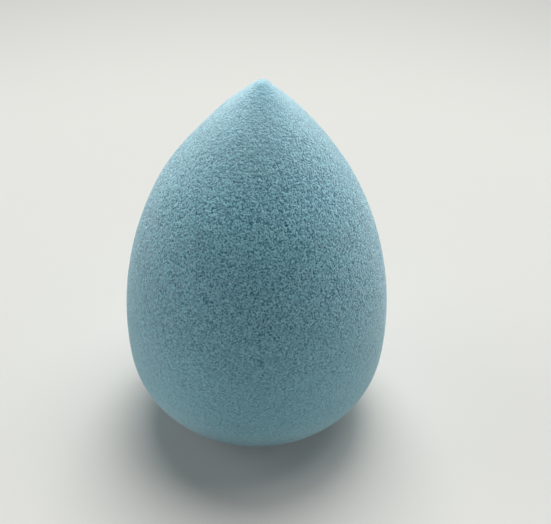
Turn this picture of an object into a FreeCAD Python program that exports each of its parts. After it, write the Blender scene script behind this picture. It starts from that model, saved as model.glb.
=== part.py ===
"""A teardrop makeup sponge: one moulded piece of open-cell foam that stands on its blunt end.

The origin is the centre of the small resting face, +Z runs up through the tip, and sizes are in millimetres.
"""

import FreeCAD, Part
import Sketcher
import math
import os

doc = FreeCAD.newDocument("MakeupSponge")

# Driving dimensions, each an alias in the sheet
SIZES = {
    "overall_height": 60.0,  # resting face to the top of the tip
    "belly_diameter": 41.0,  # widest round of the teardrop
    "belly_height": 18.5,  # how far up the widest round lies
    "tip_radius": 1.6,  # blunt end of the point
    "rest_diameter": 12.0,  # flat patch that the sponge stands on
}

sheet = doc.addObject("Spreadsheet::Sheet", "Sizes")
for row, (alias, value) in enumerate(SIZES.items(), start=1):
    sheet.set(f"A{row}", alias)
    sheet.set(f"B{row}", str(value))
    sheet.setAlias(f"B{row}", alias)
doc.recompute()


def plane_of(body, role):
    """The origin plane of a body that has this role, such as XZ_Plane."""
    return next(f for f in body.Origin.OriginFeatures if f.Role == role)


def arc(centre, radius, start, end):
    """A counter-clockwise arc in the sketch plane, between two angles in radians."""
    circle = Part.Circle(FreeCAD.Vector(*centre, 0), FreeCAD.Vector(0, 0, 1), radius)
    return Part.ArcOfCircle(circle, start, end)


def segment(start, end):
    """A straight line in the sketch plane."""
    return Part.LineSegment(FreeCAD.Vector(*start, 0), FreeCAD.Vector(*end, 0))


def foam_body():
    """The whole sponge, turned about Z from half of its outline: flat, base arc, flank arc and tip arc."""
    height = sheet.overall_height
    belly_radius = sheet.belly_diameter / 2
    belly_height = sheet.belly_height
    tip_radius = sheet.tip_radius
    rest_radius = sheet.rest_diameter / 2

    # One flank arc has the widest round on it and runs tangent into the tip arc
    tip_rise = height - tip_radius - belly_height
    flank_radius = (belly_radius**2 + tip_rise**2 - tip_radius**2) / (2 * (belly_radius - tip_radius))
    flank_centre = (belly_radius - flank_radius, belly_height)
    tip_centre = (0, height - tip_radius)
    tip_angle = math.atan2(tip_rise, -flank_centre[0])

    # The base arc leaves the resting face level and runs tangent into the flank arc
    reach = rest_radius - flank_centre[0]
    base_radius = (flank_radius**2 - reach**2 - belly_height**2) / (2 * (flank_radius - belly_height))
    base_centre = (rest_radius, base_radius)
    base_angle = math.atan2(base_radius - belly_height, reach)

    body = doc.addObject("PartDesign::Body", "foam_body")
    body.Label = "foam_body"
    sketch = body.newObject("Sketcher::SketchObject", "half_outline")
    sketch.AttachmentSupport = [(plane_of(body, "XZ_Plane"), "")]
    sketch.MapMode = "FlatFace"

    rest = sketch.addGeometry(segment((0, 0), (rest_radius, 0)))
    base = sketch.addGeometry(arc(base_centre, base_radius, -math.pi / 2, base_angle))
    flank = sketch.addGeometry(arc(flank_centre, flank_radius, base_angle, tip_angle))
    tip = sketch.addGeometry(arc(tip_centre, tip_radius, tip_angle, math.pi / 2))
    spine = sketch.addGeometry(segment((0, height), (0, 0)))
    belly = sketch.addGeometry(segment(flank_centre, (belly_radius, belly_height)), True)

    start, end, centre = 1, 2, 3
    origin, upright = -1, -2

    def constrain(kind, *places):
        return sketch.addConstraint(Sketcher.Constraint(kind, *places))

    # The outline closes on the spine, and each piece of it runs smoothly into the next
    constrain("Coincident", rest, start, origin, start)
    constrain("Horizontal", rest)
    constrain("Tangent", rest, end, base, start)
    constrain("Tangent", base, end, flank, start)
    constrain("Tangent", flank, end, tip, start)
    constrain("PointOnObject", tip, centre, upright)
    constrain("Coincident", tip, end, spine, start)
    constrain("Coincident", spine, end, origin, start)
    constrain("Vertical", spine)
    constrain("Coincident", belly, start, flank, centre)
    constrain("PointOnObject", belly, end, flank)
    constrain("Horizontal", belly)

    sizes = (
        ("height", "DistanceY", (origin, start, tip, end, height), "Sizes.overall_height"),
        ("belly", "DistanceX", (origin, start, belly, end, belly_radius), "Sizes.belly_diameter / 2"),
        ("belly_height", "DistanceY", (origin, start, belly, end, belly_height), "Sizes.belly_height"),
        ("tip", "Radius", (tip, tip_radius), "Sizes.tip_radius"),
        ("rest", "DistanceX", (rest, start, rest, end, rest_radius), "Sizes.rest_diameter / 2"),
    )
    for name, kind, places, expression in sizes:
        sketch.renameConstraint(constrain(kind, *places), name)
        sketch.setExpression(f"Constraints.{name}", expression)
    doc.recompute()
    if not sketch.FullyConstrained:
        raise RuntimeError("the half outline isn't fully constrained")

    turned = body.newObject("PartDesign::Revolution", "turned_teardrop")
    turned.Profile = sketch
    turned.ReferenceAxis = (sketch, ["V_Axis"])
    turned.Angle = 360
    body.Tip = turned
    print(f"flank arc {flank_radius:.2f} mm, base arc {base_radius:.2f} mm")
    return body


pieces = [foam_body()]
doc.recompute()

for thing in doc.Objects:
    if {"Invalid", "Error"} & set(thing.State):
        raise RuntimeError(f"{thing.Label} failed: {thing.State}")
for piece in pieces:
    if piece.Shape.isNull() or not piece.Shape.isValid():
        raise RuntimeError(f"{piece.Label} has no valid shape")

os.makedirs("parts", exist_ok=True)
for piece in pieces:
    box = piece.Shape.BoundBox
    size = f"{box.XLength:.2f} x {box.YLength:.2f} x {box.ZLength:.2f} mm"
    print(f"{piece.Label}: {size}, {piece.Shape.Volume / 1000:.2f} cm3")
    piece.Shape.exportStep(f"parts/{piece.Label}.step")
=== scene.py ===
# %% [markdown]
# # A makeup sponge in soft foam
# The real object is one piece of pale blue open-cell foam, a teardrop about 60 mm tall that stands on its
# blunt end. There is nothing to assemble here, so the whole lesson is about one surface: how foam that was
# moulded and ground looks up close, with thousands of small open pores, and how soft light falls across it.

import math

import bpy
from mathutils import Matrix, Vector


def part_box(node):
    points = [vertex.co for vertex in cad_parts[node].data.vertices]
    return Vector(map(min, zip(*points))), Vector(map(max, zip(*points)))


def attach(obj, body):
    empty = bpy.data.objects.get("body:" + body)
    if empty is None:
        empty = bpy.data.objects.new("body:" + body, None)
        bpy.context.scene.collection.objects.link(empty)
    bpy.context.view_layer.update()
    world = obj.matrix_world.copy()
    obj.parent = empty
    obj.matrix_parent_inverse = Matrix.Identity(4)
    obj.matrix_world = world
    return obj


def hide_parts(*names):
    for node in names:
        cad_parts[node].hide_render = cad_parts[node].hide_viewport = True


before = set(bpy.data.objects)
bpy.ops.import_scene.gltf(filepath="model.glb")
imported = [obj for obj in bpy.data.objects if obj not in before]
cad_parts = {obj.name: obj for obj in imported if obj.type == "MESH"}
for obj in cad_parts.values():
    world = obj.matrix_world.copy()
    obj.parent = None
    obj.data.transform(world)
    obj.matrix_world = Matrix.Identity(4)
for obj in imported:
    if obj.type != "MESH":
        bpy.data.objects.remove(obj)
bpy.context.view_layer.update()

MM = 0.001  # Blender works in metres, and the sizes below read in millimetres
NODE = "foam_body"
low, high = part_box(NODE)
print(f"CAD sponge: {(high.x - low.x) / MM:.1f} mm wide, {(high.z - low.z) / MM:.1f} mm tall")

# %% [markdown]
# ## The camera comes first
# A pinhole camera was fitted to the sponge's outline, so its distance, rise and lens are real numbers.
# The sponge stands a little left of the picture's middle. A lens shift could do that, but moving the camera
# sideways keeps views from other sides centred.

# %% Camera
IMAGE_WIDTH = 551  # pixels
IMAGE_HEIGHT = 524
FOCAL_PIXELS = 1297  # focal length, in pixels of that picture
AIM_PIXEL = (257.1, 262.7)  # where the aim point lies in the picture
AIM_HEIGHT = 28 * MM  # the aim point is on the sponge's axis
CAMERA_DISTANCE = 200 * MM
CAMERA_RISE = math.radians(37.7)
CAMERA_ROLL = math.radians(1.0)
SENSOR_WIDTH = 36  # millimetres, as Blender counts it
NEAREST_SEEN = 10 * MM

aim = Vector((0, 0, AIM_HEIGHT))
right = Vector((1, 0, 0))
up = Vector((0, math.sin(CAMERA_RISE), math.cos(CAMERA_RISE)))
back = right.cross(up)
per_pixel = CAMERA_DISTANCE / FOCAL_PIXELS
sideways = (IMAGE_WIDTH / 2 - AIM_PIXEL[0]) * per_pixel
upwards = (AIM_PIXEL[1] - IMAGE_HEIGHT / 2) * per_pixel
eye = aim + back * CAMERA_DISTANCE + right * sideways + up * upwards

bpy.ops.object.camera_add()
camera = bpy.context.object
camera.name = "camera"
camera.data.sensor_width = SENSOR_WIDTH
camera.data.lens = FOCAL_PIXELS * SENSOR_WIDTH / IMAGE_WIDTH
camera.data.clip_start = NEAREST_SEEN
turn = Matrix((right, up, back)).transposed().to_4x4()
camera.matrix_world = Matrix.Translation(eye) @ turn @ Matrix.Rotation(CAMERA_ROLL, 4, "Z")
bpy.context.scene.camera = camera
print(f"camera: {camera.data.lens:.1f} mm lens, {CAMERA_DISTANCE / MM:.0f} mm away")

# %% [markdown]
# ## The block of foam
# The blank could be a sphere pulled into a teardrop. A copy of the CAD solid is better, because it has the
# exact size and place already. The copy is loose triangles: its doubles are merged, and a voxel remesh then
# gives it small even faces, which pores need.

# %% Blank for the foam
FACE_SIZE = 0.2 * MM  # three faces across a pore
MERGE_DISTANCE = 0.001 * MM


def only(piece):
    """Makes a piece the one selected and active object."""
    bpy.ops.object.select_all(action="DESELECT")
    piece.select_set(True)
    bpy.context.view_layer.objects.active = piece


cad_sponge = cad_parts[NODE]
sponge = bpy.data.objects.new("sponge_foam", cad_sponge.data.copy())
bpy.context.scene.collection.objects.link(sponge)
only(sponge)
bpy.ops.object.mode_set(mode="EDIT")
bpy.ops.mesh.select_all(action="SELECT")
bpy.ops.mesh.remove_doubles(threshold=MERGE_DISTANCE)
bpy.ops.object.mode_set(mode="OBJECT")

remesh = sponge.modifiers.new("even_faces", "REMESH")
remesh.mode = "VOXEL"
remesh.voxel_size = FACE_SIZE
bpy.ops.object.modifier_apply(modifier=remesh.name)
print(f"blank: {len(sponge.data.polygons)} faces")

# %% [markdown]
# ## A map for later bakes
# A bake paints colours into a picture, so each face needs a place in it. Laying the map out now, while
# the surface is smooth, gives a few large islands. After the pores are cut it would break into thousands of
# scraps.

# %% Unwrap while smooth
ISLAND_ANGLE = math.radians(60)
ISLAND_MARGIN = 0.004  # a share of the map's side

sponge.data.uv_layers.new(name="OFBake")
bpy.ops.object.mode_set(mode="EDIT")
bpy.ops.mesh.select_all(action="SELECT")
bpy.ops.uv.smart_project(angle_limit=ISLAND_ANGLE, island_margin=ISLAND_MARGIN, scale_to_bounds=True)
bpy.ops.object.mode_set(mode="OBJECT")
print(f"map: {sponge.data.uv_layers.active.name}")

# %% [markdown]
# ## A tree of nodes for the cut
# The surface could be cut by sculpting, or by a Displace modifier. Geometry nodes are chosen here because
# the material can later be built from the same nodes, so that its painted shade lies where the pores are.


# %% Node tree for the cut
def node(tree, kind, inputs=None, **settings):
    """Adds a node, with its settings, and gives each input named here a value or another node's output."""
    made = tree.nodes.new(kind)
    for name, value in settings.items():
        setattr(made, name, value)
    for key, value in (inputs or {}).items():
        by_name = (s for s in made.inputs if s.enabled and s.name == key)
        socket = made.inputs[key] if isinstance(key, int) else next(by_name)
        if isinstance(value, bpy.types.NodeSocket):
            tree.links.new(value, socket)
        else:
            socket.default_value = value
    return made


cut = bpy.data.node_groups.new("open_pores", "GeometryNodeTree")
cut.interface.new_socket("Geometry", in_out="INPUT", socket_type="NodeSocketGeometry")
cut.interface.new_socket("Geometry", in_out="OUTPUT", socket_type="NodeSocketGeometry")
blank = node(cut, "NodeGroupInput").outputs[0]
where = node(cut, "GeometryNodeInputPosition").outputs[0]
normal = node(cut, "GeometryNodeInputNormal").outputs[0]
print(f"node tree: {cut.name}, {len(cut.nodes)} nodes so far")

# %% [markdown]
# ## Pores inside pores
# Foam is a web of thin struts with open pores between them, and the ground surface is a cut through that web.
# Cells from a Voronoi pattern would be one choice, but they come out as even as a honeycomb. Smooth noise
# with a finer noise in it gives uneven hollows that run into each other, with smaller ones inside.

# %% Depth of the pores
PORE_SIZE = 0.6 * MM
PORE_EDGE = 0.3  # the noise's value where a pore begins
PORE_FLOOR = 0.74  # and at its bottom
FINER_NOISES = 1.0
FINER_SHARE = 0.7  # how strong the finer noise is


def pores(tree, place, size):
    """How deep a place lies in a pore, from 0 on a strut to 1 at the bottom."""
    noise = {"Vector": place, "Scale": 1 / size, "Detail": FINER_NOISES, "Roughness": FINER_SHARE}
    span = {"Value": node(tree, "ShaderNodeTexNoise", noise).outputs[0]}
    span.update({"From Min": PORE_EDGE, "From Max": PORE_FLOOR})
    return node(tree, "ShaderNodeMapRange", span, interpolation_type="SMOOTHSTEP").outputs[0]


pore_depth = pores(cut, where, PORE_SIZE)
print(f"pores: about {PORE_SIZE / MM:.1f} mm apart")

# %% [markdown]
# ## Not the same all over
# The foam is most open on the flank, less so at the tip, and least round the base. Slow noise on top of that
# makes patches of coarser and finer foam. One even pattern would be simpler, but it looks printed.

# %% Openness of the pores
FLANK = (8 * MM, 46 * MM)  # from low on the base up to where the pores are most open
BASE_OPEN = 0.36
FLANK_OPEN = 1.15
TIP_OPEN = 0.5  # a share of what the flank has
PATCH_SIZE = 1.8 * MM  # how far apart coarser and finer patches lie
PATCH_NOISE = (0.3, 0.7)  # most of the noise lies between these values
PATCH_OPEN = (0.65, 1.35)  # and these are the shares that they stand for


def ramp(tree, place, start, end, at_start=0.0, at_end=1.0):
    """A smooth change with height, from one value to another."""
    span = {"Value": node(tree, "ShaderNodeSeparateXYZ", {0: place}).outputs[2]}
    span.update({"From Min": start, "From Max": end, "To Min": at_start, "To Max": at_end})
    return node(tree, "ShaderNodeMapRange", span, interpolation_type="SMOOTHSTEP").outputs[0]


def openness(tree, place):
    """How open the pores are at a place, where 1 gives them their plain depth."""
    flank = ramp(tree, place, *FLANK, BASE_OPEN, FLANK_OPEN)
    tip = ramp(tree, place, FLANK[1], high.z, 1.0, TIP_OPEN)
    noise = node(tree, "ShaderNodeTexNoise", {"Vector": place, "Scale": 1 / PATCH_SIZE}).outputs[0]
    span = {"Value": noise, "From Min": PATCH_NOISE[0], "From Max": PATCH_NOISE[1]}
    span.update({"To Min": PATCH_OPEN[0], "To Max": PATCH_OPEN[1]})
    patch = node(tree, "ShaderNodeMapRange", span).outputs[0]
    share = node(tree, "ShaderNodeMath", {0: flank, 1: tip}, operation="MULTIPLY").outputs[0]
    return node(tree, "ShaderNodeMath", {0: share, 1: patch}, operation="MULTIPLY").outputs[0]


open_share = openness(cut, where)
print(f"patches: about {PATCH_SIZE / MM:.1f} mm apart, pores at the base {BASE_OPEN:.2f} open")

# %% [markdown]
# ## Sinking the pores
# A pore is a hollow, so each point has to sink along its normal: by how deep in a pore it lies, times how
# open the pores are there. Raising the struts instead would make the sponge bigger than it is.

# %% Sink the pores
PORE_DEPTH = 0.07 * MM  # at an openness of 1

depth = node(cut, "ShaderNodeMath", {0: pore_depth, 1: open_share}, operation="MULTIPLY").outputs[0]
sink = node(cut, "ShaderNodeMath", {0: depth, 1: -PORE_DEPTH}, operation="MULTIPLY").outputs[0]
offset = node(cut, "ShaderNodeVectorMath", {0: normal, "Scale": sink}, operation="SCALE").outputs[0]
print(f"pores: {PORE_DEPTH / MM:.2f} mm deep at an openness of 1")

# %% [markdown]
# ## The tip
# The point of the sponge isn't quite true: from the shoulder up it leans a hair to one side and draws in, and
# most of all at the very tip. Proportional editing could pull it by hand. A pull that grows smoothly with
# height does the same, and its size can be read in millimetres.

# %% Pull the tip
SHOULDER = (42 * MM, 53 * MM)  # where the lean begins, and where it is full
SHOULDER_SHIFT = (0.32 * MM, 0, 0)
SHOULDER_PINCH = 0.04  # a share of the distance to the axis
NUB = (54 * MM, 60 * MM)
NUB_SHIFT = (0.24 * MM, 0, 0.14 * MM)
NUB_PINCH = 0.07

for reach, shift, pinch in ((SHOULDER, SHOULDER_SHIFT, SHOULDER_PINCH), (NUB, NUB_SHIFT, NUB_PINCH)):
    drawn_in = {0: where, 1: (-pinch, -pinch, 0), 2: shift}
    full_pull = node(cut, "ShaderNodeVectorMath", drawn_in, operation="MULTIPLY_ADD").outputs[0]
    by_height = {0: full_pull, "Scale": ramp(cut, where, *reach)}
    pull = node(cut, "ShaderNodeVectorMath", by_height, operation="SCALE").outputs[0]
    offset = node(cut, "ShaderNodeVectorMath", {0: offset, 1: pull}, operation="ADD").outputs[0]
print(f"tip: leans {(SHOULDER_SHIFT[0] + NUB_SHIFT[0]) / MM:.2f} mm to the right")

# %% [markdown]
# ## Cutting
# Each point of the blank now moves by its offset. Its place before that is kept as an attribute, so the
# finish can find the same spot later. The modifier is applied, because the pores belong to the mesh itself.

# %% Cut the pores
note = {"Geometry": blank, "Name": "uncut_place", "Value": where}
noted = node(cut, "GeometryNodeStoreNamedAttribute", note, data_type="FLOAT_VECTOR", domain="POINT")
moved = node(cut, "GeometryNodeSetPosition", {"Geometry": noted.outputs[0], "Offset": offset})
node(cut, "NodeGroupOutput", {0: moved.outputs[0]})

cutter = sponge.modifiers.new("open_pores", "NODES")
cutter.node_group = cut
only(sponge)
bpy.ops.object.modifier_apply(modifier=cutter.name)
bpy.ops.object.shade_smooth()
print(f"foam: {len(sponge.data.polygons)} faces after the cut")

# %% [markdown]
# ## The foam's finish
# Foam has no gloss. Light wanders a few millimetres inside it, which softens every shadow on it, and cut
# strut ends stand up like a nap and give the edges a pale bloom. A plain matte shader would come close. The
# glow and the bloom are what make it look soft.


# %% Open-cell polyurethane foam
def colour(code):
    """An sRGB hex colour as the linear values that Blender's sockets take."""
    parts = [int(code[i : i + 2], 16) / 255 for i in (1, 3, 5)]
    return [c / 12.92 if c <= 0.04045 else ((c + 0.055) / 1.055) ** 2.4 for c in parts] + [1]


BLOOM = "#F0FAFF"
GLOW_DEPTH = 4 * MM  # how far light wanders inside the foam

# Moulded, then ground: a dull thicket of struts, with a soft glow inside and a pale bloom along its edges
foam = bpy.data.materials.new("open_cell_polyurethane_foam")
foam.use_nodes = True
shader = foam.node_tree.nodes["Principled BSDF"]
shader.inputs["Roughness"].default_value = 0.9  # no gloss at all
shader.inputs["IOR"].default_value = 1.45
shader.inputs["Specular IOR Level"].default_value = 0.2
shader.inputs["Subsurface Weight"].default_value = 0.4  # light spreads a little past a shadow's edge
shader.inputs["Subsurface Radius"].default_value = (1, 1, 1)
shader.inputs["Subsurface Scale"].default_value = GLOW_DEPTH
shader.inputs["Sheen Weight"].default_value = 0.7  # the bloom
shader.inputs["Sheen Roughness"].default_value = 0.6
shader.inputs["Sheen Tint"].default_value = colour(BLOOM)
sponge.data.materials.clear()
sponge.data.materials.append(foam)
print(f"finish: {foam.name}")

# %% [markdown]
# ## Grain
# Up close each pore has smaller ones in it, too small for the mesh. They are drawn in the material from the
# same field, at about half its size, as bumps and as painted shade, and the deepest of the cut pores hold
# some more painted shade. Where the pores are less open, the grain fades into one even tone.

# %% Grain of the foam
GRAIN_SIZE = 0.28 * MM
PIT_EDGE = 0.72  # how deep in a cut pore the extra painted shade begins
PIT_SHARE = 0.35  # how much more painted shade the deepest pores hold
MEAN_GRAIN = 0.45  # the even tone

tree = foam.node_tree
uncut = node(tree, "ShaderNodeAttribute", attribute_name="uncut_place").outputs["Vector"]
deepest = {"Value": pores(tree, uncut, PORE_SIZE), "From Min": PIT_EDGE, "To Max": PIT_SHARE}
pits = node(tree, "ShaderNodeMapRange", deepest).outputs[0]
fine_and_deep = {0: pores(tree, uncut, GRAIN_SIZE), 1: pits}
shade = node(tree, "ShaderNodeMath", fine_and_deep, operation="ADD", use_clamp=True).outputs[0]
faded = {"Factor": openness(tree, uncut), "A": MEAN_GRAIN, "B": shade}
grain = node(tree, "ShaderNodeMix", faded).outputs[0]
print(f"grain: about {GRAIN_SIZE / MM:.2f} mm apart")

# %% [markdown]
# ## Colour with painted light and shade, and relief
# The foam has one blue all through, so the change of colour with depth is painted light and shade: struts are
# painted pale, as if they catch light, and pores get painted shade in a deeper blue, as light that reached
# them only through blue foam would give. Towards the tip the sponge gets thin and light comes through, so the
# blue there is painted paler, a painted glow. A painted picture could show all this, but colour that follows
# the grain stays sharp from any distance. The grain also makes bumps, so light catches the rim of small
# pores.

# %% Colour of the foam, with painted light and shade, and its relief
# painted light and shade: struts painted pale as if they catch light, pores painted a deeper blue as shade
STRUTS = "#A7E7F4"
PORES = "#187698"
# painted light: the tip painted paler, as light that comes through the thin foam would make it
PAINTED_TIP_GLOW = "#C6EEF9"
TIP_GLOW_FROM = 44 * MM
TIP_GLOW_SHARE = 0.45  # how much of the tip's painted glow shows at the very top
GRAIN_DEPTH = 0.14 * MM
MIXED_COLOUR = 2  # the number of a Mix node's output for colours

# the struts' painted light and the pores' painted shade, mixed by depth in the grain
by_depth = {"Factor": grain, "A": colour(STRUTS), "B": colour(PORES)}
painted_light_and_shade = node(tree, "ShaderNodeMix", by_depth, data_type="RGBA").outputs[MIXED_COLOUR]
# the painted glow of the thin tip, rising towards the top
painted_tip_glow = ramp(tree, uncut, TIP_GLOW_FROM, high.z, 0.0, TIP_GLOW_SHARE)
by_tip_glow = {"Factor": painted_tip_glow, "A": painted_light_and_shade, "B": colour(PAINTED_TIP_GLOW)}
blue = node(tree, "ShaderNodeMix", by_tip_glow, data_type="RGBA").outputs[MIXED_COLOUR]
tree.links.new(blue, shader.inputs["Base Color"])

height = node(tree, "ShaderNodeMath", {0: grain, 1: -1.0}, operation="MULTIPLY").outputs[0]
bumps = {"Strength": 1.0, "Distance": GRAIN_DEPTH, "Height": height}
tree.links.new(node(tree, "ShaderNodeBump", bumps).outputs[0], shader.inputs["Normal"])
print(f"colour: from {STRUTS} on the struts to {PORES} in the pores")

# %% [markdown]
# ## In place of the CAD solid
# The CAD solid stays for the physics. The foam takes its place in the picture, and rides on the same body.

# %% Stand for the CAD node
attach(sponge, "root")
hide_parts(NODE)
print(f"{sponge.name} stands for {NODE}")

# %% [markdown]
# ## Floor
# The sponge stands on plain pale paper. The tone that the eye sees and the tone that lights the foam from
# below are set apart: the first makes the background as pale as it should be, and the second keeps the front
# of the sponge in soft shade. One tone for both would be simpler, but then neither could be matched alone.

# %% Floor
FLOOR_SIZE = 4.0  # metres
FLOOR_SEEN = "#C1C0BB"
FLOOR_GIVES = "#CACAC6"
HAZE = "#E6F2F6"
HAZE_SHARE = 0.09  # stray room light, which keeps the shadow from going black


def by_eye(tree):
    """1 where the eye sees a surface, straight or in gloss or glass, and 0 where it only gives light."""
    ray = node(tree, "ShaderNodeLightPath").outputs
    straight_or_gloss = {0: ray["Is Camera Ray"], 1: ray["Is Glossy Ray"]}
    either = node(tree, "ShaderNodeMath", straight_or_gloss, operation="MAXIMUM").outputs[0]
    or_glass = {0: either, 1: ray["Is Transmission Ray"]}
    return node(tree, "ShaderNodeMath", or_glass, operation="MAXIMUM").outputs[0]


bpy.ops.mesh.primitive_plane_add(size=FLOOR_SIZE)
floor = bpy.context.object
floor.name = "floor"
paper = bpy.data.materials.new("matte_paper")
paper.use_nodes = True
tree = paper.node_tree
sheet = tree.nodes["Principled BSDF"]
sheet.inputs["Roughness"].default_value = 0.9
sheet.inputs["Specular IOR Level"].default_value = 0.1
sheet.inputs["Emission Color"].default_value = colour(HAZE)
seen = by_eye(tree)
tones = {"Factor": seen, "A": colour(FLOOR_GIVES), "B": colour(FLOOR_SEEN)}
tone = node(tree, "ShaderNodeMix", tones, data_type="RGBA").outputs[MIXED_COLOUR]
tree.links.new(tone, sheet.inputs["Base Color"])
haze = node(tree, "ShaderNodeMath", {0: seen, 1: HAZE_SHARE}, operation="MULTIPLY").outputs[0]
tree.links.new(haze, sheet.inputs["Emission Strength"])
floor.data.materials.append(paper)
print(f"floor: {FLOOR_SIZE:.0f} m of {paper.name}")

# %% [markdown]
# ## No horizon
# In a studio the paper would sweep up behind the sponge to hide the horizon, which works from one side only.
# Here it stays flat, and further off it takes on the tone of the room, which hides it from every side.

# %% Paper fades into the room
ROOM = "#F6F6F2"
ROOM_SEEN = 0.62  # how pale the room looks past the paper
PAPER_MIDDLE = (0, -20 * MM, 0)
PAPER_ENDS = (110 * MM, 220 * MM)  # how far out the paper begins to fade, and where only the room is seen

spot = node(tree, "ShaderNodeTexCoord").outputs["Object"]
from_middle = {0: spot, 1: PAPER_MIDDLE}
away = node(tree, "ShaderNodeVectorMath", from_middle, operation="DISTANCE").outputs["Value"]
span = {"Value": away, "From Min": PAPER_ENDS[0], "From Max": PAPER_ENDS[1]}
gone = node(tree, "ShaderNodeMapRange", span, interpolation_type="SMOOTHSTEP").outputs[0]
fade = node(tree, "ShaderNodeMath", {0: gone, 1: seen}, operation="MULTIPLY").outputs[0]
room_tone = node(tree, "ShaderNodeEmission", {"Color": colour(ROOM), "Strength": ROOM_SEEN}).outputs[0]
surface = node(tree, "ShaderNodeMixShader", {0: fade, 1: sheet.outputs[0], 2: room_tone}).outputs[0]
tree.links.new(surface, tree.nodes["Material Output"].inputs["Surface"])
print(f"paper: fades out by {PAPER_ENDS[1] / MM:.0f} mm")

# %% [markdown]
# ## Light
# Big soft lights stand behind the sponge and above it, more to the right than to the left, so its shadow
# falls towards the camera. Two weak ones at the sides lift its edges. The front gets little more than what
# the floor gives back, which is why it is darkest halfway up. Small lamps would be simpler, but they would
# cut a hard shadow.

# %% Softboxes
BOX_WIDTH = 1.5  # metres
BOX_DISTANCE = 2.0
SOFTBOXES = (  # name, degrees round from straight behind, degrees up, level
    ("back_softbox", 0, 62, 1.1),
    ("right_back_softbox", 48, 64, 0.45),
    ("left_softbox", 275, 22, 0.25),
    ("right_softbox", 95, 18, 0.09),
)


def softbox(name, turn, rise, level):
    """A round softbox that faces the sponge; at level 1 a white card that faces it renders white."""
    a, e = math.radians(turn), math.radians(rise)
    towards = Vector((math.sin(a) * math.cos(e), math.cos(a) * math.cos(e), math.sin(e)))
    bpy.ops.object.light_add(type="AREA")
    made = bpy.context.object
    made.name = name
    made.data.shape = "DISK"
    made.data.size = BOX_WIDTH
    made.location = aim + towards * BOX_DISTANCE
    made.rotation_euler = towards.to_track_quat("Z", "Y").to_euler()
    made.data.energy = level * math.pi**2 * BOX_DISTANCE**2
    print(f"{name}: level {level:.2f}")


for box in SOFTBOXES:
    softbox(*box)

# %% [markdown]
# ## Room
# The room is a plain pale tone all round. It could light the sponge as well, but that would flatten the shade
# on its front, so the eye sees the tone and the foam gets next to no light from it.

# %% Room
ROOM_LEVEL = 0.012  # the light that it gives

world = bpy.data.worlds.new("room")
world.use_nodes = True
tree = world.node_tree
sky = tree.nodes["Background"]
sky.inputs["Color"].default_value = colour(ROOM)
strength = {"Factor": by_eye(tree), "A": ROOM_LEVEL, "B": ROOM_SEEN}
tree.links.new(node(tree, "ShaderNodeMix", strength).outputs[0], sky.inputs["Strength"])
bpy.context.scene.world = world
bpy.context.scene.view_settings.view_transform = "Standard"
print(f"room: looks {ROOM_SEEN} pale, gives {ROOM_LEVEL}")
